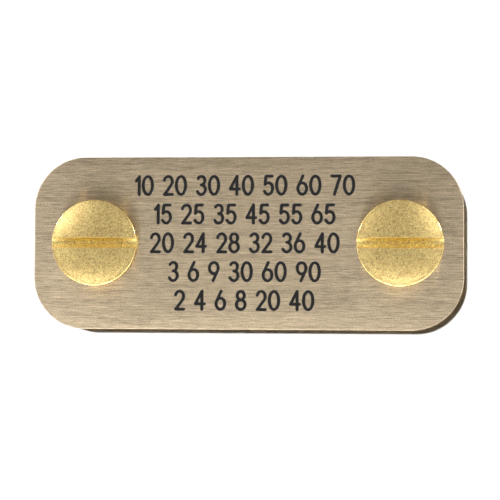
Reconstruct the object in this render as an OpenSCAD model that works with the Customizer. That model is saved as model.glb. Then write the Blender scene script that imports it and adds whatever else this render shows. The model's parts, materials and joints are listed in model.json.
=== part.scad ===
// Engraved collar plate for a pet, held on its strap by two slotted binding screws.
// It lies on the back heads of its two posts, with the engraved face up along +Z.
// X runs along the strap, and the origin is centred under the plate at the lowest face.

/* [Face plate] */
// Length of the plate along the strap
plate_length = 50; // [36:0.5:80]
// Width of the plate across the strap
plate_width = 20; // [16:0.5:30]
// Thickness of the brass sheet
plate_thickness = 1.2; // [0.8:0.1:2]
// Radius of the four corners in plan
corner_radius = 6; // [1:0.5:7.5]
// Radius of the round that is polished along the edge of the face
face_edge_radius = 0.1; // [0.05:0.05:0.4]
// Chamfer that breaks the edge of the back
back_edge_chamfer = 0.15; // [0.05:0.05:0.3]
// Distance from each end of the plate to the centre of its fixing hole
hole_inset = 7.25; // [6:0.25:9]
// Chamfer that takes the burr off both ends of each fixing hole
hole_deburr = 0.15; // [0.05:0.05:0.2]

/* [Screw] */
// Diameter of the slotted head, which the back head of its post matches
head_diameter = 10; // [8:0.5:11]
// Height of the upright rim under the dome
screw_rim_height = 1; // [0.8:0.1:1.6]
// Rise of the dome above the rim
dome_rise = 0.9; // [0.4:0.1:1.4]
// Chamfer that breaks the edge between rim and dome
rim_chamfer = 0.12; // [0.05:0.01:0.2]
// Width of the driver slot
slot_width = 1.1; // [0.8:0.1:1.6]
// Height of the metal left under the middle of the driver slot
slot_floor_height = 0.5; // [0.3:0.1:0.7]
// Diameter of the disc saw, whose arc the floor of the driver slot follows
saw_diameter = 100; // [60:5:150]
// Outside diameter of the screw's thread
thread_diameter = 3.9; // [3:0.1:4.9]
// Pitch of the thread
thread_pitch = 0.7; // [0.4:0.05:0.75]
// Depth of one side of the thread, which the relieved neck and the point are turned down by
thread_depth = 0.4; // [0.2:0.05:0.5]

/* [Post] */
// Length of the barrel, which is the thickest strap that the plate goes on
barrel_length = 5; // [3:0.5:10]
// Thickness of the barrel's wall round its thread
barrel_wall = 0.5; // [0.5:0.1:1.2]
// Chamfer that leads the screw into the mouth of the barrel
mouth_chamfer = 0.25; // [0.1:0.05:0.3]
// Fillet between the barrel and its back head
root_fillet = 0.2; // [0.1:0.05:0.5]
// Thickness of the back head
back_head_thickness = 1.5; // [1.2:0.1:2.5]
// Radius of the round that is turned on the outer edge of the back head
back_head_round = 0.6; // [0.2:0.1:0.8]
// Depth of the cone that ends the bore
bore_cone_depth = 0.5; // [0.2:0.1:0.7]

/* [Fits] */
// Gap all round between the screw's thread and the wall of the post's bore
thread_clearance = 0.05; // [0.02:0.01:0.08]
// Gap all round between the screw's thread and the plate's hole
hole_clearance = 0.2; // [0.1:0.05:0.3]
// Gap between the screw's point and the level of the back head
point_gap = 0.1; // [0.05:0.05:0.5]
// Run of the bore below the level of the back head
bore_run_out = 0.2; // [0.1:0.05:0.4]

/* [Hidden] */
$fn = 96;

// How far a cutting shape runs past the surface that it opens
overrun = 0.5;

// Levels up the assembly, from the face that it lies on
barrel_foot_z = back_head_thickness;
plate_back_z = barrel_foot_z + barrel_length;
plate_face_z = plate_back_z + plate_thickness;

// Distance from the middle of the plate to each fixing hole
hole_reach = plate_length / 2 - hole_inset;

// Plan of the plate between the centres of its corners
straight_length = plate_length - 2 * corner_radius;
straight_width = plate_width - 2 * corner_radius;

// Radii of the screw and of what it runs in
thread_radius = thread_diameter / 2;
root_radius = thread_radius - thread_depth;
hole_radius = thread_radius + hole_clearance;
bore_radius = thread_radius + thread_clearance;
barrel_radius = bore_radius + barrel_wall;

// The head's dome is a cap of one sphere, which passes through the top of the rim
head_radius = head_diameter / 2;
head_height = screw_rim_height + dome_rise;
dome_radius = (head_radius * head_radius + dome_rise * dome_rise) / (2 * dome_rise);

// The disc saw stands upright, with its lowest point on the floor of the slot
saw_radius = saw_diameter / 2;

// Heights along the shank, down from the seat of the head
neck_length = plate_thickness - thread_pitch;
shank_length = plate_thickness + barrel_length - point_gap;

// Colours of the two brasses
plate_brass = "#B8A27C";
turned_brass = "#D6B45C";

// Half of a section through the plate: a round on the face's edge and a chamfer on the back's
module plate_edge_section(reach) {
    difference() {
        union() {
            square([reach, plate_thickness - face_edge_radius]);
            square([reach - face_edge_radius, plate_thickness]);
            translate([reach - face_edge_radius, plate_thickness - face_edge_radius])
                circle(face_edge_radius);
        }
        chamfer_cut(reach, 0, back_edge_chamfer);
    }
}

// A square set on its corner, which chamfers an edge at this place in a section
module chamfer_cut(x, y, size) {
    translate([x, y])
        rotate(45)
            square(size * sqrt(2), center = true);
}

// A straight run of the plate with both of its long edges worked
module plate_run(run, span) {
    rotate([90, 0, 90])
        translate([0, 0, -run / 2])
            linear_extrude(run)
                for (side = [0, 1])
                    mirror([side, 0])
                        plate_edge_section(span / 2);
}

// The rolled plate before drilling: two crossed runs and four turned corners
module plate_blank() {
    plate_run(straight_length, plate_width);
    rotate(90)
        plate_run(straight_width, plate_length);
    for (end = [0, 1])
        for (side = [0, 1])
            mirror([end, 0, 0])
                mirror([0, side, 0])
                    translate([straight_length / 2, straight_width / 2, 0])
                        rotate_extrude(angle = 90)
                            plate_edge_section(corner_radius);
}

// One fixing hole, with the burr taken off where it breaks out
module fixing_hole() {
    translate([0, 0, -overrun])
        cylinder(plate_thickness + 2 * overrun, r = hole_radius);
    rotate_extrude()
        for (end = [0, 1])
            chamfer_cut(hole_radius, end * plate_thickness, hole_deburr);
}

// Head of the screw: an upright rim under a shallow dome, with the edge between them broken
module screw_head() {
    rotate_extrude()
        difference() {
            intersection() {
                square([head_radius, head_height]);
                translate([0, head_height - dome_radius])
                    circle(dome_radius, $fn = 4 * $fn);
            }
            chamfer_cut(head_radius, screw_rim_height, rim_chamfer);
        }
}

// Half of a section through the shank: relieved neck, thread and tapered point
module shank_section() {
    polygon([
        [0, 0],
        [root_radius, 0],
        [root_radius, -neck_length],
        [thread_radius, -neck_length - thread_depth],
        [thread_radius, -shank_length + thread_depth],
        [root_radius, -shank_length],
        [0, -shank_length]
    ]);
}

// Disc saw at the end of its cut, which leaves a slot that is deepest in the middle
module slot_saw() {
    translate([0, slot_width / 2, slot_floor_height + saw_radius])
        rotate([90, 0, 0])
            cylinder(slot_width, r = saw_radius, $fn = 4 * $fn);
}

// Screw with its seat at the origin, pointing down
module binding_screw() {
    difference() {
        union() {
            screw_head();
            rotate_extrude()
                shank_section();
        }
        slot_saw();
    }
}

// Post that stands on its back head, with the mouth of its barrel up
module binding_post() {
    difference() {
        rotate_extrude()
            post_section();
        translate([0, 0, barrel_foot_z - bore_run_out])
            cylinder(barrel_length + bore_run_out + overrun, r = bore_radius);
        translate([0, 0, barrel_foot_z - bore_run_out - bore_cone_depth])
            cylinder(bore_cone_depth, r1 = root_radius / 2, r2 = bore_radius);
        translate([0, 0, plate_back_z - mouth_chamfer])
            cylinder(2 * mouth_chamfer, r1 = bore_radius, r2 = bore_radius + 2 * mouth_chamfer);
    }
}

// Half of a section through the post without its bore
module post_section() {
    head_edge = head_radius - back_head_round;
    square([head_edge, back_head_thickness]);
    translate([0, back_head_round])
        square([head_radius, back_head_thickness - back_head_round]);
    translate([head_edge, back_head_round])
        circle(back_head_round);
    square([barrel_radius, plate_back_z]);
    difference() {
        translate([0, barrel_foot_z])
            square([barrel_radius + root_fillet, root_fillet]);
        translate([barrel_radius + root_fillet, barrel_foot_z + root_fillet])
            circle(root_fillet);
    }
}

module face_plate() {
    color(plate_brass)
        translate([0, 0, plate_back_z])
            difference() {
                plate_blank();
                for (end = [-1, 1])
                    translate([end * hole_reach, 0, 0])
                        fixing_hole();
            }
}

module left_screw() {
    color(turned_brass)
        translate([-hole_reach, 0, plate_face_z])
            binding_screw();
}

module right_screw() {
    color(turned_brass)
        translate([hole_reach, 0, plate_face_z])
            binding_screw();
}

module left_post() {
    color(turned_brass)
        translate([-hole_reach, 0, 0])
            binding_post();
}

module right_post() {
    color(turned_brass)
        translate([hole_reach, 0, 0])
            binding_post();
}

face_plate();
left_screw();
right_screw();
left_post();
right_post();
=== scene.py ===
# %% [markdown]
# A pet's collar plate, dressed piece by piece
# The real object is a brass plate with engraved lines, held on a strap by two slotted
# binding screws. Each screw draws onto a hollow post behind the strap.
# The plain parts are loaded first, because every dressed piece has to sit exactly where
# its plain part sits. Their box is kept, so that the dressed object can be measured against it.

# %% Load the plain parts
import json
import math

import bmesh
import bpy
from mathutils import Matrix, Vector

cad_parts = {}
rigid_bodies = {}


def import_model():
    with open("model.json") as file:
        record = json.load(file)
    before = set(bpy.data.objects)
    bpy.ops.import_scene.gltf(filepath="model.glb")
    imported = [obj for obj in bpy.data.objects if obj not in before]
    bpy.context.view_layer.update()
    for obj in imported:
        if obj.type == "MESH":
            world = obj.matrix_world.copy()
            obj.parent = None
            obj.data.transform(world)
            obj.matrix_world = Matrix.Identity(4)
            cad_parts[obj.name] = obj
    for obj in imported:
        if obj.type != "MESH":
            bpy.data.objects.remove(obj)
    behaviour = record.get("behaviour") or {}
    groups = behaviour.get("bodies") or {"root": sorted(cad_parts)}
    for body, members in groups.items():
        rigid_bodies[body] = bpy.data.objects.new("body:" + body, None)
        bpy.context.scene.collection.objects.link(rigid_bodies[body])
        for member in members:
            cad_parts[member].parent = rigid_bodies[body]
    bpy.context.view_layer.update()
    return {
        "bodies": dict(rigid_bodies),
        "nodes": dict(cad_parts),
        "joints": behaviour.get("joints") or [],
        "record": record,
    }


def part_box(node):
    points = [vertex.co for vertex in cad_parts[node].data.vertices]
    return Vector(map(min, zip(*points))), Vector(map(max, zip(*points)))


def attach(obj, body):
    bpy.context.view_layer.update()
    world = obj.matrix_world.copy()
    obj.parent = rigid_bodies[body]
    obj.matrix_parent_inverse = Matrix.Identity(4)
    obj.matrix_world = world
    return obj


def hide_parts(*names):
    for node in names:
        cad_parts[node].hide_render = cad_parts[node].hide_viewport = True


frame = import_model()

print("plain parts:", ", ".join(sorted(frame["nodes"])))

# %% [markdown]
# Work in millimetres, finish in metres
# Blender's own unit is the metre, and this object is only 50 mm long. Shapes are easier to
# read and to bevel in millimetres, so every piece is built in millimetres and shrunk once,
# when it is finished. The places come from the boxes of the plain parts and not from typed
# numbers, so the dressed pieces follow the plain ones.

# %% Read the levels and places off the plain parts
MM = 0.001


def box_mm(node):
    """Lowest and highest corner of a plain part, in millimetres."""
    low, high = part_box(node)
    return low / MM, high / MM


plate_low, plate_high = box_mm("face_plate")
screw_low, screw_high = box_mm("left_screw")
post_low = box_mm("left_post")[0]

plate_length = plate_high.x - plate_low.x
plate_width = plate_high.y - plate_low.y
plate_thickness = plate_high.z - plate_low.z
face_z = plate_high.z
back_z = plate_low.z
point_z = screw_low.z
head_radius = (screw_high.x - screw_low.x) / 2
left_x = (screw_low.x + screw_high.x) / 2
places = {"left": left_x, "right": -left_x}
print(f"plate {plate_length:.1f} x {plate_width:.1f} x {plate_thickness:.2f} mm, face at {face_z:.2f} mm")
print(f"heads {2 * head_radius:.1f} mm wide, at x {places['left']:.2f} and {places['right']:.2f} mm")

# %% [markdown]
# Small helpers for shapes
# A bmesh is Blender's editable mesh. A shape becomes an object once, and a boolean modifier
# then cuts or joins it, as a drill or a saw would. The modifier is settled at once into
# plain geometry, so that the next step works on real edges. Round parts could start from
# Blender's cylinders, but the real ones are turned on a lathe, so an outline is spun about
# the axis, and each shoulder and groove is a point of that outline.

# %% Turn a shape into an object, and settle its modifiers
def make_piece(name, shape):
    """An object in millimetres from a bmesh, which is used up."""
    mesh = bpy.data.meshes.new(name)
    shape.to_mesh(mesh)
    shape.free()
    piece = bpy.data.objects.new(name, mesh)
    bpy.context.scene.collection.objects.link(piece)
    return piece


def settle(piece):
    """Replaces a piece's mesh by what its modifiers make of it."""
    shown = piece.evaluated_get(bpy.context.evaluated_depsgraph_get())
    mesh = bpy.data.meshes.new_from_object(shown)
    piece.modifiers.clear()
    piece.data = mesh


def machine(piece, tool, operation="DIFFERENCE"):
    """Cuts a piece with a tool, or joins the two, and throws the tool away."""
    step = piece.modifiers.new("step", "BOOLEAN")
    step.operation = operation
    step.solver = "EXACT"
    step.object = tool
    settle(piece)
    bpy.data.objects.remove(tool)


# %% Turn an outline on a lathe
lathe_steps = 96
weld_distance = 0.0005


def arc(centre, radii, start, end, step=15):
    """Points along an ellipse's arc, from one angle to another in degrees."""
    count = max(2, round(abs(end - start) / step))
    angles = [math.radians(start + (end - start) * k / count) for k in range(count + 1)]
    return [(centre[0] + radii[0] * math.cos(a), centre[1] + radii[1] * math.sin(a)) for a in angles]


def turned(outline, x=0, steps=lathe_steps):
    """A solid of revolution. The outline runs from the axis to the axis, as (radius, height)."""
    shape = bmesh.new()
    verts = [shape.verts.new((radius, 0, height)) for radius, height in outline]
    edges = [shape.edges.new(pair) for pair in zip(verts, verts[1:])]
    bmesh.ops.spin(shape, geom=verts + edges, cent=(0, 0, 0), axis=(0, 0, 1),
                   angle=math.tau, steps=steps, use_merge=True)
    bmesh.ops.remove_doubles(shape, verts=shape.verts, dist=weld_distance)
    bmesh.ops.recalc_face_normals(shape, faces=shape.faces)
    bmesh.ops.translate(shape, vec=(x, 0, 0), verts=shape.verts)
    return shape


# %% [markdown]
# The plate: a sheet with round corners
# The real plate is cut from brass sheet, its corners are rounded and its edge is polished.
# A cube with its four upright edges bevelled gives that outline. The rim of the face then
# gets a round and the rim of the back a small chamfer, because light catches a real edge.

# %% Build the plate's blank
corner_radius = 6
corner_steps = 24
face_round = 0.1
face_round_steps = 3
back_chamfer = 0.15
same_level = 0.001


def bevel(shape, edges, offset, segments):
    """A round of one radius along some edges, or a chamfer where there is one segment."""
    bmesh.ops.bevel(shape, geom=edges, offset=offset, offset_type="OFFSET", segments=segments,
                    profile=0.5, affect="EDGES", material=-1)


def rim_edges(shape, height):
    """The edges that run round a flat side at this height."""
    return [e for e in shape.edges
            if all(abs(v.co.z - height) < same_level for v in e.verts)
            and any(abs(f.normal.z) < 0.5 for f in e.link_faces)]


shape = bmesh.new()
bmesh.ops.create_cube(shape, size=1)
bmesh.ops.scale(shape, vec=(plate_length, plate_width, plate_thickness), verts=shape.verts)
bmesh.ops.translate(shape, vec=(0, 0, (face_z + back_z) / 2), verts=shape.verts)
upright = [e for e in shape.edges if abs(e.verts[0].co.z - e.verts[1].co.z) > plate_thickness / 2]
bevel(shape, upright, corner_radius, corner_steps)
shape.normal_update()
bevel(shape, rim_edges(shape, face_z), face_round, face_round_steps)
shape.normal_update()
bevel(shape, rim_edges(shape, back_z), back_chamfer, 1)
plate = make_piece("engraved_plate", shape)
print("plate blank:", len(plate.data.polygons), "faces")

# %% [markdown]
# The fixing holes: drilled and deburred
# The screws pass through two round holes with a little room. A drill leaves a burr on both
# sides, and a small chamfer takes it off. A cylinder would cut the hole alone. A turned
# drill with a flare at each end cuts the hole and both chamfers in one step.

# %% Drill the two fixing holes
hole_radius = 2.15
hole_deburr = 0.15
overrun = 0.5

for side, x in places.items():
    flare = hole_radius + hole_deburr + overrun
    drill = turned([(0, back_z - overrun), (flare, back_z - overrun),
                    (hole_radius, back_z + hole_deburr), (hole_radius, face_z - hole_deburr),
                    (flare, face_z + overrun), (0, face_z + overrun)], x)
    machine(plate, make_piece("drill", drill))
    print(f"{side} hole: {2 * hole_radius} mm")

# %% [markdown]
# The engraving: numbers cut with a round cutter
# A machine engraver draws each character as a few single strokes with a round cutter, so
# every stroke has the same width and round ends. A font's outlines would not look like
# that. Each number here is a list of strokes, and each stroke is a line or an arc.
# All of it is given in shares of the height of a number, so one size sets the whole set.

# %% Draw the ten numbers as strokes
number_height = 2.1
narrow_share = 0.83


def half_turn(strokes, width):
    """The same strokes turned upside down in a box of this width and of height 1."""
    return [[(width - x, 1 - y) for x, y in stroke] for stroke in strokes]


six_share = [arc((0.30, 0.31), (0.29, 0.31), 0, 360),
             [(0.049, 0.465), (0.34, 1.0)]]
stroke_shares = {
    "0": [arc((0.31, 0.5), (0.31, 0.5), 0, 360)],
    "1": [[(0.0, 0.76), (0.2, 1.0)], [(0.2, 1.0), (0.2, 0.0)]],
    "2": [arc((0.29, 0.71), (0.27, 0.29), 165, -42) + [(0.03, 0.0)], [(0.03, 0.0), (0.57, 0.0)]],
    "3": [arc((0.27, 0.765), (0.24, 0.235), 150, -90), arc((0.27, 0.265), (0.28, 0.265), 90, -155)],
    "4": [[(0.44, 1.0), (0.0, 0.3)], [(0.0, 0.3), (0.6, 0.3)], [(0.44, 1.0), (0.44, 0.0)]],
    "5": [[(0.52, 1.0), (0.12, 1.0)], [(0.12, 1.0), (0.058, 0.538)],
          arc((0.27, 0.32), (0.29, 0.32), 137, -150)],
    "6": six_share,
    "7": [[(0.0, 1.0), (0.56, 1.0)], [(0.56, 1.0), (0.18, 0.0)]],
    "8": [arc((0.29, 0.765), (0.235, 0.235), 0, 360), arc((0.29, 0.265), (0.29, 0.265), 0, 360)],
    "9": half_turn(six_share, 0.6),
}
strokes_mm = {name: [[(x * narrow_share * number_height, (y - 0.5) * number_height) for x, y in stroke]
                     for stroke in strokes]
              for name, strokes in stroke_shares.items()}
width_mm = {name: max(x for stroke in strokes for x, y in stroke) for name, strokes in strokes_mm.items()}
print("numbers:", {name: (len(s), round(width_mm[name], 2)) for name, s in strokes_mm.items()})

# %% [markdown]
# Sweep a cutter along a stroke
# The cutter leaves a round-bottomed groove. One ring of points is extruded from place to
# place along the stroke, and at an open end the ring shrinks along a quarter circle, which
# gives the ball end. A closed stroke has no ends: its last ring meets its first.

# %% Sweep one stroke
cutter_sides = 12
ball_steps = 3


def stations(points, half_width):
    """Where the ring stands along a stroke: place, direction in degrees, and size."""
    closed = math.dist(points[0], points[-1]) < weld_distance
    ways = [math.atan2(b[1] - a[1], b[0] - a[0]) for a, b in zip(points, points[1:])]
    found = []
    for k, point in enumerate(points):
        before = ways[k - 1] if k or closed else ways[0]
        after = ways[k % len(ways)] if k < len(ways) or closed else ways[-1]
        turn = (after - before + math.pi) % math.tau - math.pi
        found.append((point, before + turn / 2, 1))
    if closed:
        return found, True
    ball = [math.radians(90 * k / (ball_steps + 0.5)) for k in range(1, ball_steps + 1)]
    ends = []
    for (x, y), way, sign in ((points[0], ways[0], -1), (points[-1], ways[-1], 1)):
        reach = [sign * half_width * math.sin(b) for b in ball]
        ends.append([((x + r * math.cos(way), y + r * math.sin(way)), way, math.cos(b))
                     for r, b in zip(reach, ball)])
    return ends[0][::-1] + found + ends[1], False


def sweep(points, half_width, below, above):
    """A closed tube along a stroke in the plane z = 0, of different depth below and above it."""
    shape = bmesh.new()
    places_along, closed = stations(points, half_width)

    def ring_at(station):
        (x, y), way, size = station
        return (Matrix.Translation((x, y, 0)) @ Matrix.Rotation(way, 4, "Z")
                @ Matrix.Rotation(math.pi / 2, 4, "Y") @ Matrix.Scale(size * half_width, 4))

    bmesh.ops.create_circle(shape, cap_ends=not closed, segments=cutter_sides, radius=1,
                            matrix=ring_at(places_along[0]))
    edges = list(shape.edges)
    for old, new in zip(places_along, places_along[1:]):
        made = bmesh.ops.extrude_edge_only(shape, edges=edges)["geom"]
        verts = [g for g in made if isinstance(g, bmesh.types.BMVert)]
        edges = [g for g in made if isinstance(g, bmesh.types.BMEdge)]
        bmesh.ops.transform(shape, matrix=ring_at(new) @ ring_at(old).inverted(), verts=verts)
    if not closed:
        bmesh.ops.edgeloop_fill(shape, edges=edges)
    bmesh.ops.remove_doubles(shape, verts=shape.verts, dist=weld_distance)
    bmesh.ops.recalc_face_normals(shape, faces=shape.faces)
    for sign, depth in ((-1, below), (1, above)):
        half = [v for v in shape.verts if v.co.z * sign > 0]
        bmesh.ops.scale(shape, vec=(1, 1, depth / half_width), verts=half)
    return shape


# %% [markdown]
# Cutter and paint for each number
# Strokes of one number cross, so they are joined into one clean solid first. The paint in
# a real groove dries into a shallow hollow that climbs its walls. So the paint is the
# groove's own shape, with a wider and shallower sweep taken out of its top.

# %% Join the strokes of each number once
stroke_half = 0.2
groove_depth = 0.22
paint_hollow = 0.12
paint_below_face = 0.012
hollow_half = 1.1 * stroke_half
hollow_height = 1.5 * groove_depth


def joined_strokes(name, number, half_width, below, above):
    """One solid from all strokes of a number."""
    first, *rest = strokes_mm[number]
    solid = make_piece(name, sweep(first, half_width, below, above))
    for stroke in rest:
        machine(solid, make_piece("stroke", sweep(stroke, half_width, below, above)), "UNION")
    return solid


cutters, fills = {}, {}
for number in strokes_mm:
    cutters[number] = joined_strokes("cutter_" + number, number, stroke_half, groove_depth, groove_depth)
    fills[number] = joined_strokes("fill_" + number, number, stroke_half, groove_depth, groove_depth)
    hollow = joined_strokes("hollow", number, hollow_half, paint_hollow, hollow_height)
    hollow.data.transform(Matrix.Translation((0, 0, -paint_below_face)))
    machine(fills[number], hollow)
print("cutters:", {number: len(c.data.polygons) for number, c in cutters.items()})
print("fills:", {number: len(f.data.polygons) for number, f in fills.items()})

# %% [markdown]
# Five centred rows
# The rows hold plain counting numbers, as on a dial or a ruler. Each row is measured first
# and then centred on the plate. One row at a time is cut, and its paint is one piece.

# %% Cut the rows and lay the paint
row_pitch = 3.33
letter_gap = 0.47
word_gap = 1.36
rows = ["10 20 30 40 50 60 70",
        "15 25 35 45 55 65",
        "20 24 28 32 36 40",
        "3 6 9 30 60 90",
        "2 4 6 8 20 40"]
block_middle = Vector((-0.3, 0.05))


def row_places(text):
    """(number, place of its left side) for each number of a row, and the row's length."""
    x, found = 0, []
    for mark in text:
        if mark == " ":
            x += word_gap - letter_gap
        else:
            found.append((mark, x))
            x += width_mm[mark] + letter_gap
    return found, x - letter_gap


def set_row(name, text, level, blocks):
    """A row of ready solids as one piece, standing in the plate's face."""
    found, length = row_places(text)
    shape = bmesh.new()
    for mark, x in found:
        start = len(shape.verts)
        shape.from_mesh(blocks[mark].data)
        shape.verts.ensure_lookup_table()
        place = (block_middle.x - length / 2 + x, block_middle.y + level, face_z)
        bmesh.ops.translate(shape, vec=place, verts=shape.verts[start:])
    return make_piece(name, shape), length


paint = []
for k, text in enumerate(rows):
    level = (2 - k) * row_pitch
    cutter, length = set_row("cutter", text, level, cutters)
    fill, length = set_row(f"number_paint_{k + 1}", text, level, fills)
    machine(plate, cutter)
    paint.append(fill)
    print(f"row {k + 1}: {length:.1f} mm long, {len(plate.data.polygons)} faces on the plate so far")
for block in [*cutters.values(), *fills.values()]:
    bpy.data.objects.remove(block)

# %% [markdown]
# The thread: one pitch of outline, spun and lifted
# A thread is a groove that climbs by one pitch in each turn. The spin operator can lift the
# outline a little at every step, so one pitch of outline makes the whole helix, and the top
# of one turn meets the bottom of the next. Two planes trim it to length.

# %% A threaded rod, which also serves as the tap for the post
thread_pitch = 0.7
crest_radius = 1.95
root_radius = 1.55
thread_steps = 48
thread_flank = 30
spare_turns = 3
crest_flat = thread_pitch / 8


def threaded_rod(crest, root, low, high, taper):
    """A closed rod with a right-handed thread. Its ends run down to the root where taper is true."""
    shape = bmesh.new()
    flank = (crest - root) * math.tan(math.radians(thread_flank))
    middle = (thread_pitch - crest_flat) / 2
    turns = math.ceil((high - low) / thread_pitch) + spare_turns
    start = low - low % thread_pitch - 2 * thread_pitch
    outline = [(root, 0), (root, middle - flank), (crest, middle), (crest, middle + crest_flat),
               (root, middle + crest_flat + flank), (root, thread_pitch)]
    verts = [shape.verts.new((radius, 0, start + z)) for radius, z in outline]
    edges = [shape.edges.new(pair) for pair in zip(verts, verts[1:])]
    bmesh.ops.spin(shape, geom=verts + edges, cent=(0, 0, 0), axis=(0, 0, 1), angle=math.tau * turns,
                   steps=thread_steps * turns, dvec=(0, 0, thread_pitch / thread_steps))
    bmesh.ops.remove_doubles(shape, verts=shape.verts, dist=weld_distance)
    for height, way in ((high, 1), (low, -1)):
        bmesh.ops.bisect_plane(shape, geom=shape.verts[:] + shape.edges[:] + shape.faces[:],
                               plane_co=(0, 0, height), plane_no=(0, 0, way), clear_outer=True)
    if taper:
        for v in shape.verts:
            reach = math.hypot(v.co.x, v.co.y)
            limit = root + min(v.co.z - low, high - v.co.z)
            if reach > limit:
                v.co.xy *= limit / reach
    open_edges = [e for e in shape.edges if e.is_boundary]
    bmesh.ops.holes_fill(shape, edges=open_edges, sides=0)
    bmesh.ops.recalc_face_normals(shape, faces=shape.faces)
    return shape


# %% [markdown]
# The screw: a turned head, a sawn slot and a threaded shank
# The head is turned: an upright rim under a shallow dome that is part of one sphere. A disc
# saw is plunged into it, so the slot's floor is an arc that is deepest in the middle, and
# light catches its ends. The disc is turned on the lathe too, and tipped up on its edge,
# which is worn round. Tumbling has opened the slot's mouth a little and softened every
# edge, and a bevel on all sharp edges gives them a thin bright line. A hair of air under
# the head keeps its seat out of the plane of the plate's face.

# %% Build one screw at the origin of its seat
seat_gap = 0.004
rim_height = 1.0
dome_rise = 0.9
rim_round = 0.2
dome_step = 1.6
rim_step = 8
slot_width = 1.1
slot_floor = 0.5
slot_flare = 0.065
saw_radius = 50
saw_steps = 900
saw_edge_radius = 0.5
edge_wear = 0.06
edge_wear_steps = 3
sharp_angle = 40
neck_length = plate_thickness - thread_pitch
neck_relief = 0.05
dome_radius = (head_radius ** 2 + dome_rise ** 2) / (2 * dome_rise)
dome_middle = rim_height + dome_rise - dome_radius
point_depth = face_z - point_z
polished_width = 0.8 * rim_round
slot_margin = 0.7 * slot_width


def rim_outline():
    """Rim and dome of the head, from the edge of its seat to the axis, with a round between them."""
    edge_angle = math.degrees(math.asin((head_radius - rim_round) / dome_radius))
    dome = arc((0, dome_middle), (dome_radius, dome_radius), 90 - edge_angle, 90, dome_step)
    shoulder = arc((head_radius - rim_round, dome[0][1] - rim_round), (rim_round, rim_round),
                   0, 90 - edge_angle, rim_step)
    return [(head_radius, seat_gap)] + shoulder[:-1] + dome[:-1] + [(0, rim_height + dome_rise)]


def slot_saw():
    """The disc saw at the end of its cut. Its sides lean outwards, away from its worn, rounded edge."""
    half = slot_width / 2
    wide = half + slot_flare * saw_radius
    flat = half - saw_edge_radius
    edge_round = arc((saw_radius - saw_edge_radius, flat), (saw_edge_radius, saw_edge_radius), 0, 90)
    upper = edge_round + [(0, wide)]
    shape = turned([(radius, -across) for radius, across in reversed(upper)] + upper, steps=saw_steps)
    bmesh.ops.rotate(shape, matrix=Matrix.Rotation(math.pi / 2, 3, "X"), verts=shape.verts)
    bmesh.ops.translate(shape, vec=(0, 0, slot_floor + saw_radius), verts=shape.verts)
    return shape


def build_screw(name):
    """Head, slot, worn edges and shank, with the seat of the head at the origin."""
    screw = make_piece(name, turned([(0, seat_gap)] + rim_outline()))
    machine(screw, make_piece("saw", slot_saw()))
    wear = screw.modifiers.new("wear", "BEVEL")
    wear.width = edge_wear
    wear.segments = edge_wear_steps
    wear.limit_method = "ANGLE"
    wear.angle_limit = math.radians(sharp_angle)
    settle(screw)
    neck = turned([(0, overrun / 2), (root_radius - neck_relief, overrun / 2),
                   (root_radius - neck_relief, -neck_length - overrun), (0, -neck_length - overrun)])
    machine(screw, make_piece("neck", neck), "UNION")
    thread = threaded_rod(crest_radius, root_radius, -point_depth, -neck_length, True)
    machine(screw, make_piece("thread", thread), "UNION")
    return screw


def mark_depth_and_rim(piece):
    """Stores how deep each point of a head lies under its dome, and 1 where it is on the rim."""
    depth = piece.data.attributes.new("depth", "FLOAT", "POINT")
    rim = piece.data.attributes.new("rim", "FLOAT", "POINT")
    middle = Vector((0, 0, dome_middle))
    for vertex, deep, edge in zip(piece.data.vertices, depth.data, rim.data):
        x, y, z = vertex.co
        outside = math.hypot(x, y) > head_radius - polished_width
        edge.value = float(outside and abs(y) > slot_margin)
        deep.value = 0 if edge.value else max(0, dome_radius - (vertex.co - middle).length)


screws = {}
for side, x in places.items():
    screws[side] = build_screw(f"{side}_binding_screw")
    mark_depth_and_rim(screws[side])
    screws[side].data.transform(Matrix.Translation((x, 0, face_z)))
    print(side, "screw:", len(screws[side].data.polygons), "faces")

# %% [markdown]
# The post: a hollow barrel on a flat back head
# The post is one turned piece. Its barrel goes through the strap and its back head holds
# the strap. The bore is drilled, relieved at the bottom so that the tap can run out, and
# tapped with the same helix as the screw, a little wider, so the two really mesh.

# %% Build one post
back_head_thickness = 1.5
back_head_round = 0.6
barrel_radius = 2.5
root_fillet = 0.2
mouth_chamfer = 0.25
tap_clearance = 0.05
bore_root = crest_radius + tap_clearance
bore_crest = root_radius + 2 * tap_clearance
relief_depth = 0.2
relief_top = 0.15
drill_cone = 0.5
wear_step = 30


def post_outline():
    """Outside of the post, from the axis under the back head to the axis over the barrel."""
    base = post_low.z
    deck = base + back_head_thickness
    back_round = arc((head_radius - back_head_round, base + back_head_round),
                     (back_head_round, back_head_round), -90, 0)
    fillet = arc((barrel_radius + root_fillet, deck + root_fillet), (root_fillet, root_fillet), 270, 180)
    worn = arc((head_radius - edge_wear, deck - edge_wear), (edge_wear, edge_wear), 0, 90, wear_step)
    lip = [(barrel_radius, back_z - edge_wear), (barrel_radius - edge_wear, back_z)]
    return [(0, base)] + back_round + worn + fillet + lip + [(0, back_z)]


def bore_outline():
    """Drilled bore: cone, relief under the thread, core hole and countersunk mouth."""
    floor = post_low.z + back_head_thickness - relief_depth
    lip = bore_root + mouth_chamfer + overrun
    return [(0, floor - drill_cone), (root_radius / 2, floor - drill_cone), (bore_root, floor),
            (bore_root, floor + relief_depth + relief_top),
            (bore_crest, floor + relief_depth + relief_top + bore_root - bore_crest),
            (bore_crest, back_z - mouth_chamfer - (bore_root - bore_crest)),
            (lip, back_z + overrun), (0, back_z + overrun)]


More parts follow.
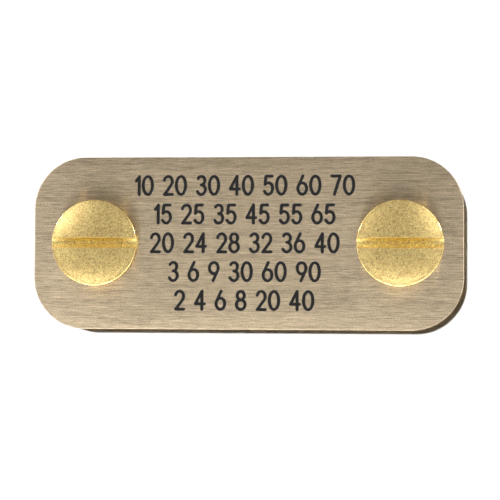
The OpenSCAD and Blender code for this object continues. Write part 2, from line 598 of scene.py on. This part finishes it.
posts = {}
for side, x in places.items():
    post = make_piece(f"{side}_binding_post", turned(post_outline()))
    machine(post, make_piece("bore", turned(bore_outline())))
    tap_low = post_low.z + back_head_thickness + relief_top / 2 - face_z
    tap_high = back_z - face_z + overrun
    tap = threaded_rod(bore_root, bore_crest - tap_clearance / 2, tap_low, tap_high, False)
    bmesh.ops.translate(tap, vec=(0, 0, face_z), verts=tap.verts)
    machine(post, make_piece("tap", tap))
    post.data.transform(Matrix.Translation((x, 0, 0)))
    posts[side] = post
    print(side, "post:", len(post.data.polygons), "faces")

# %% [markdown]
# Helpers for finishes
# A finish is a small tree of nodes. Its patterns read Object coordinates in metres, so a
# grain of a tenth of a millimetre stays that size on every piece. Nothing is painted by
# where the camera stands: gloss comes from the shader and the lights.

# %% A short way to add nodes
def add_node(tree, kind, inputs=None, **settings):
    """A shader node with its settings, whose inputs are values or other nodes' outputs."""
    made = tree.nodes.new("ShaderNode" + kind)
    for name, value in settings.items():
        setattr(made, name, value)
    for name, value in (inputs or {}).items():
        if isinstance(value, bpy.types.NodeSocket):
            tree.links.new(value, made.inputs[name])
        else:
            made.inputs[name].default_value = value
    return made


def new_finish(name):
    """An empty material with its output, and the Object coordinates that its patterns read."""
    finish = bpy.data.materials.new(name)
    finish.use_nodes = True
    tree = finish.node_tree
    tree.nodes.clear()
    coords = add_node(tree, "TexCoord").outputs["Object"]
    return finish, tree, coords


def grain(tree, coords, size_mm, detail=2.0, roughness=0.5):
    """Noise whose grains are about this many millimetres along X, Y and Z."""
    place = add_node(tree, "Mapping", {"Vector": coords, "Scale": tuple(1 / (MM * s) for s in size_mm)})
    noise = add_node(tree, "TexNoise", {"Vector": place.outputs[0], "Scale": 1.0, "Detail": detail,
                                        "Roughness": roughness})
    return noise.outputs[0]


def weigh(tree, parts):
    """Weighted sum about 0 of parts (pattern, weight), where each pattern's mean is 0.5."""
    total = None
    for pattern, weight in parts:
        centred = add_node(tree, "Math", {0: pattern, 1: 0.5}, operation="SUBTRACT").outputs[0]
        share = add_node(tree, "Math", {0: centred, 1: weight}, operation="MULTIPLY").outputs[0]
        total = share if total is None else add_node(tree, "Math", {0: total, 1: share}).outputs[0]
    return total


def tint(tree, colour, pattern):
    """A colour made lighter and darker by a pattern about 0."""
    level = add_node(tree, "Math", {0: pattern, 1: 1.0}).outputs[0]
    return add_node(tree, "VectorMath", {0: colour, 1: level}, operation="MULTIPLY").outputs[0]


def finish_output(tree, shader):
    """Closes a material's tree."""
    add_node(tree, "OutputMaterial", {"Surface": shader.outputs[0]})


# %% [markdown]
# Brushed brass sheet
# The sheet is brushed along its length. Fine scratches tilt the surface across the grain
# only, so highlights spread across the grain: that is an anisotropic finish. Its direction
# has to follow the sheet, so the plate gets a UV map whose U runs across the grain.
# Streaks of three lengths and faint wide bands then vary the colour, the roughness and
# the height a little. Their sizes run along, across and through the sheet, in millimetres.

# %% Brushed brass
brushed_colour = (0.5, 0.4, 0.27)
brushed_roughness = 0.37
long_streak = (5.0, 0.08, 0.08)
short_streak = (1.2, 0.06, 0.06)
nick = (0.2, 0.055, 0.055)
band = (18.0, 0.9, 0.9)
scratch_height = 4e-6


def brushed_brass():
    finish, tree, coords = new_finish("brushed_brass")
    long_streaks = grain(tree, coords, long_streak)
    short_streaks = grain(tree, coords, short_streak)
    nicks = grain(tree, coords, nick, 1)
    bands = grain(tree, coords, band)
    colour_pattern = weigh(tree, [(long_streaks, 1.2), (short_streaks, 1.5), (nicks, 1.3),
                                  (bands, 0.25)])
    height_pattern = weigh(tree, [(long_streaks, 0.6), (short_streaks, 0.6), (nicks, 0.3)])
    bump = add_node(tree, "Bump", {"Height": height_pattern, "Distance": scratch_height,
                                   "Strength": 0.6})
    uneven = weigh(tree, [(long_streaks, 0.1), (bands, 0.04)])
    rough = add_node(tree, "Math", {0: uneven, 1: brushed_roughness}).outputs[0]
    across = add_node(tree, "Tangent", direction_type="UV_MAP", uv_map="grain")
    shader = add_node(tree, "BsdfPrincipled", {
        "Base Color": tint(tree, brushed_colour, colour_pattern), "Metallic": 1.0, "Roughness": rough,
        "Anisotropic": 1.0, "Tangent": across.outputs[0], "Normal": bump.outputs[0]})
    finish_output(tree, shader)
    return finish


# %% [markdown]
# Tumbled brass
# Small turned parts are tumbled with stones, which leaves a fine speckled skin of tiny dents, and here
# and there a small dark pit. The speckle in the colour is the skin's own mottled tone, and as it follows
# the dents it also paints shade into them and highlights on the raised grains between them.
# The stones rub the upright rim smooth. They don't reach into the slot, which stays rougher and less
# glossy. Each screw stores how deep every point lies under its dome, in millimetres, and the finish goes
# over from the one skin to the other with that depth. With that depth the colour also turns darker and
# less red, in the slot and under the head.

# %% Tumbled brass
tumbled_colour = (0.87, 0.61, 0.242)
# Under the dome the colour goes over to a darker, less red one with depth, in the slot and under the
# head.
deep_colour = (0.775, 0.61, 0.245)
deep_colour_depths = (0.05, 0.4)
rough_depths = (0.02, 0.25)
fine_grain, middling_grain, coarse_grain, cloud = 0.08, 0.22, 0.45, 2.4
dent_depth = 1.6e-5
tumbled_roughness = 0.33
pit_spacing = 1.5
pit_shares = (0.02, 0.06)
pit_shade = 0.45
rim_roughness = 0.13
slot_roughness = 0.62


def tumbled_brass():
    finish, tree, coords = new_finish("tumbled_brass")
    fine = grain(tree, coords, (fine_grain,) * 3, 1)
    middling = grain(tree, coords, (middling_grain,) * 3, 1)
    coarse = grain(tree, coords, (coarse_grain,) * 3, 3)
    clouds = grain(tree, coords, (cloud,) * 3)
    # The speckle is the skin's own mottled tone. Because it follows the dents, it also paints shade into
    # them and highlights on the grains between them.
    colour_pattern = weigh(tree, [(fine, 2.7), (middling, 0.9), (coarse, 0.5), (clouds, 0.2)])
    rim = add_node(tree, "Attribute", attribute_name="rim").outputs["Fac"]
    dented = add_node(tree, "Math", {0: 1.0, 1: rim}, operation="SUBTRACT").outputs[0]
    skin_height = weigh(tree, [(fine, 0.5), (coarse, 1.0)])
    dents = add_node(tree, "Math", {0: skin_height, 1: dented}, operation="MULTIPLY").outputs[0]
    bump = add_node(tree, "Bump", {"Height": dents, "Distance": dent_depth, "Strength": 0.8})
    smooth = add_node(tree, "MapRange", {"Value": rim, "To Min": tumbled_roughness,
                                         "To Max": rim_roughness})
    depth = add_node(tree, "Attribute", attribute_name="depth").outputs["Fac"]
    # Mixes towards the darker, less red colour with depth under the dome.
    deeper = add_node(tree, "MapRange", {"Value": depth, "From Min": deep_colour_depths[0],
                                          "From Max": deep_colour_depths[1]})
    unworn = add_node(tree, "MapRange", {"Value": depth, "From Min": rough_depths[0],
                                         "From Max": rough_depths[1],
                                         "To Max": slot_roughness - tumbled_roughness})
    worn = add_node(tree, "Math", {0: smooth.outputs[0], 1: unworn.outputs[0]}).outputs[0]
    rough = add_node(tree, "Math", {0: weigh(tree, [(coarse, 0.12)]), 1: worn}).outputs[0]
    metal = add_node(tree, "Mix", {"Factor": deeper.outputs[0]}, data_type="RGBA")
    metal.inputs["A"].default_value = (*tumbled_colour, 1)
    metal.inputs["B"].default_value = (*deep_colour, 1)
    skin = tint(tree, metal.outputs["Result"], colour_pattern)
    place = add_node(tree, "Mapping", {"Vector": coords, "Scale": (1 / (MM * pit_spacing),) * 3})
    pits = add_node(tree, "TexVoronoi", {"Vector": place.outputs[0], "Scale": 1.0})
    clean = add_node(tree, "MapRange", {"Value": pits.outputs["Distance"], "From Min": pit_shares[0],
                                        "From Max": pit_shares[1], "To Min": pit_shade})
    skin = add_node(tree, "VectorMath", {0: skin, 1: clean.outputs[0]}, operation="MULTIPLY").outputs[0]
    shader = add_node(tree, "BsdfPrincipled", {
        "Base Color": skin, "Metallic": 1.0, "Roughness": rough, "Normal": bump.outputs[0]})
    finish_output(tree, shader)
    return finish


# %% [markdown]
# Black paint
# The engraved lines are filled with black paint, and the face is wiped clean. The paint
# could be a dark colour on the plate, but as a solid of its own it has a gloss of its own
# and a real hollow. A grain as fine as dust makes its colour and its gloss a little uneven.

# %% Black paint
paint_colour = (0.006, 0.0055, 0.005)
paint_roughness = 0.22
paint_grain = 0.12
paint_bumps = 6e-6


def black_paint():
    finish, tree, coords = new_finish("black_paint")
    dust = grain(tree, coords, (paint_grain,) * 3)
    bump = add_node(tree, "Bump", {"Height": dust, "Distance": paint_bumps, "Strength": 0.5})
    shader = add_node(tree, "BsdfPrincipled", {
        "Base Color": tint(tree, paint_colour, weigh(tree, [(dust, 0.6)])),
        "Roughness": paint_roughness, "Normal": bump.outputs[0]})
    finish_output(tree, shader)
    return finish


# %% [markdown]
# Finish every piece
# Finishing shrinks a piece to metres, smooths its curved faces but keeps its sharp edges,
# gives it its finish, and ties it to its body. A piece that stands for a plain part hides it.

# %% Shrink, smooth, dress and tie each piece
smooth_angle = 32
brushed, tumbled, black = brushed_brass(), tumbled_brass(), black_paint()


def finish_piece(piece, material, body, node=None):
    piece.data.transform(Matrix.Scale(MM, 4))
    piece.data.shade_smooth()
    piece.data.set_sharp_from_angle(angle=math.radians(smooth_angle))
    piece.data.materials.clear()
    piece.data.materials.append(material)
    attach(piece, body)
    if node:
        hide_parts(node)
    print(f"{piece.name} rides on {body}: {len(piece.data.vertices)} points")


def map_grain(piece):
    """U runs across the plate and V along it. A share of the height keeps the walls' map open."""
    shape = bmesh.new()
    shape.from_mesh(piece.data)
    layer = shape.loops.layers.uv.new("grain")
    for face in shape.faces:
        for loop in face.loops:
            x, y, z = loop.vert.co
            loop[layer].uv = (y + z, x + z / 2)
    shape.to_mesh(piece.data)
    shape.free()


finish_piece(plate, brushed, "plate", "face_plate")
map_grain(plate)
for fill in paint:
    finish_piece(fill, black, "plate")
for side in places:
    finish_piece(screws[side], tumbled, f"{side}_screw", f"{side}_screw")
    finish_piece(posts[side], tumbled, f"{side}_post", f"{side}_post")

# %% [markdown]
# The floor: plain white, and large
# The object lies on a white floor that reaches far past the picture on all sides. It is plain and dull,
# so that it shows nothing but the object's shadow and a little light from the metal.

# %% Floor
floor_half = 3
floor_shade = 0.9

shape = bmesh.new()
bmesh.ops.create_grid(shape, x_segments=1, y_segments=1, size=floor_half)
floor = make_piece("floor", shape)
finish, tree, coords = new_finish("floor_white")
floor_paint = (floor_shade, floor_shade, floor_shade, 1)
finish_output(tree, add_node(tree, "BsdfDiffuse", {"Color": floor_paint}))
floor.data.materials.append(finish)

# %% [markdown]
# A sky with three faces
# The camera sees plain white behind the object. Metal only shows what it reflects, so
# reflections see an even studio with a glow that grows towards the horizon at both sides
# and towards the lower edge of the picture. Everything else gets a faint shade, so the
# shadow stays dark.

# %% Sky
sky_shade = 0.015
sky_mirrored = 0.51
horizon_glow = {("X", 1): 0.7, ("X", -1): 1.4, ("Y", -1): 0.8}
world = bpy.data.worlds.new("studio")
bpy.context.scene.world = world
world.use_nodes = True
tree = world.node_tree
tree.nodes.clear()
direction = add_node(tree, "TexCoord").outputs["Generated"]
split = add_node(tree, "SeparateXYZ", {"Vector": direction})
from_zenith = add_node(tree, "Math", {0: 1.0, 1: split.outputs["Z"]}, operation="SUBTRACT").outputs[0]
low = add_node(tree, "Math", {0: from_zenith, 1: 2.0}, operation="POWER").outputs[0]
glow = None
for (axis, sign), strength in horizon_glow.items():
    facing = {0: split.outputs[axis], 1: sign * strength}
    side = add_node(tree, "Math", facing, operation="MULTIPLY").outputs[0]
    side = add_node(tree, "Math", {0: side, 1: 0.0}, operation="MAXIMUM").outputs[0]
    glow = side if glow is None else add_node(tree, "Math", {0: glow, 1: side}).outputs[0]
glow = add_node(tree, "Math", {0: low, 1: glow}, operation="MULTIPLY").outputs[0]
brightness = add_node(tree, "Math", {0: glow, 1: sky_mirrored}).outputs[0]
path = add_node(tree, "LightPath")
white = (1, 1, 1, 1)
seen = add_node(tree, "Background", {"Color": white, "Strength": 1.0})
mirrored = add_node(tree, "Background", {"Color": white, "Strength": brightness})
scattered = add_node(tree, "Background", {"Color": white, "Strength": sky_shade})
lit = add_node(tree, "MixShader", {0: path.outputs["Is Glossy Ray"], 1: scattered.outputs[0],
                                   2: mirrored.outputs[0]})
whole = add_node(tree, "MixShader", {0: path.outputs["Is Camera Ray"], 1: lit.outputs[0],
                                     2: seen.outputs[0]})
add_node(tree, "OutputWorld", {"Surface": whole.outputs[0]})

# %% [markdown]
# A sun for the floor, and lamps for the metal
# A small sun, high and a little to the upper left, gives the floor its white and the plate
# its thin, dark, crisp shadow. It is left out of reflections. The lamps are glowing panels
# that only reflections see, so they model the domes and rims and don't wash out the
# shadow. Glossy filtering is off, because it would wipe out the light that the polished
# rims throw into the plate.

# %% Sun and lamps
def aim(thing, target):
    thing.rotation_mode = "QUATERNION"
    thing.rotation_quaternion = (Vector(target) - thing.location).to_track_quat("-Z", "Y")


def add_light(name, kind, place_mm, target_mm, energy, **settings):
    light = bpy.data.lights.new(name, kind)
    light.energy = energy
    for key, value in settings.items():
        setattr(light, key, value)
    lamp = bpy.data.objects.new(name, light)
    bpy.context.scene.collection.objects.link(lamp)
    lamp.location = Vector(place_mm) * MM
    aim(lamp, Vector(target_mm) * MM)
    return lamp


sun_height = 500
sun_lean = (-2.4, 3.9)
sun_strength = 3.7
sun_width = 1.4
sun_x, sun_y = (sun_height * math.tan(math.radians(lean)) for lean in sun_lean)
sun = add_light("sun", "SUN", (sun_x, sun_y, sun_height), (0, 0, 0), sun_strength,
                angle=math.radians(sun_width))
sun.visible_glossy = False
bpy.context.scene.cycles.blur_glossy = 0

# Each lamp's place, what it is aimed at and its width and height, in millimetres, and its brightness
softboxes = {
    "left_lamp": ((-92, 53, 115), (-5, 0, 8), (8, 8), 1.5),
    "right_lamp": ((94, 50, 119), (5, 0, 8), (8, 8), 11.0),
    "left_low_lamp": ((-130, 62, 64), (0, 0, 8), (24, 24), 42.0),
    "right_low_lamp": ((126, 54, 74), (0, 0, 8), (24, 24), 50.0),
    "left_box": ((-111, 30, 104), (0, 0, 8), (60, 60), 0.2),
    "right_box": ((111, 30, 104), (0, 0, 8), (60, 60), 0.3),
    "left_back_box": ((-85, 85, 104), (0, 0, 8), (50, 50), 1.0),
    "right_back_box": ((85, 85, 104), (0, 0, 8), (50, 50), 1.4),
    "left_wall": ((-150, 40, 70), (0, 0, 8), (60, 90), 0.26),
    "right_wall": ((150, 40, 70), (0, 0, 8), (60, 90), 0.27),
    "low_box": ((-28, -148, 72), (-24, 0, 8), (118, 90), 2.7),
    "right_flank": ((125, -70, 100), (0, 0, 8), (50, 60), 0.4),
    "low_panel": ((-3, -45, 35), (-3, 0, 35), (150, 50), 2.1),
    "right_low_card": ((45, -28, 27), (25, 0, 20), (50, 32), 0.5),
}


def add_softbox(name, place_mm, target_mm, size_mm, brightness):
    """A glowing panel that only reflections see. Its brightness is 1 where it mirrors as white."""
    width, height = (size * MM for size in size_mm)
    panel = add_light(name, "AREA", place_mm, target_mm, math.pi * width * height * brightness,
                      shape="RECTANGLE", size=width, size_y=height)
    panel.visible_diffuse = False
    panel.visible_camera = False
    return panel


for name, settings in softboxes.items():
    add_softbox(name, *settings)

# %% [markdown]
# The camera: almost straight above, with a long lens
# The camera stands over the plate, a little to the right and towards the lower edge of the
# picture. A long lens keeps the far and the near end of the plate alike. A Track To
# constraint could aim it, but that takes Z as upwards, which means little to a camera that
# looks down. So its turn is worked out from two points, with Y upwards.

# %% Camera
eye = Vector((27.3, -8.0, 237.7))
look = Vector((0.40, -0.79, 7.7))
roll = math.radians(0.28)
focal_length = 144.3
sensor_width = 36


def upright_towards(eye, look, roll):
    """Turn of a camera at eye that looks at look with Y upwards in the picture, and then rolls."""
    back = (eye - look).normalized()
    right = Vector((0, 1, 0)).cross(back).normalized()
    frame = Matrix((right, back.cross(right), back)).transposed()
    return (frame @ Matrix.Rotation(roll, 3, "Z")).to_quaternion()


lens = bpy.data.cameras.new("camera")
lens.sensor_width = sensor_width
lens.lens = focal_length
lens.clip_start = 0.01
lens.clip_end = 20
camera = bpy.data.objects.new("camera", lens)
bpy.context.scene.collection.objects.link(camera)
camera.location = eye * MM
camera.rotation_mode = "QUATERNION"
camera.rotation_quaternion = upright_towards(eye, look, roll)
bpy.context.scene.camera = camera
bpy.context.scene.view_settings.view_transform = "Standard"
print(f"camera {(eye - look).length:.0f} mm from the face")
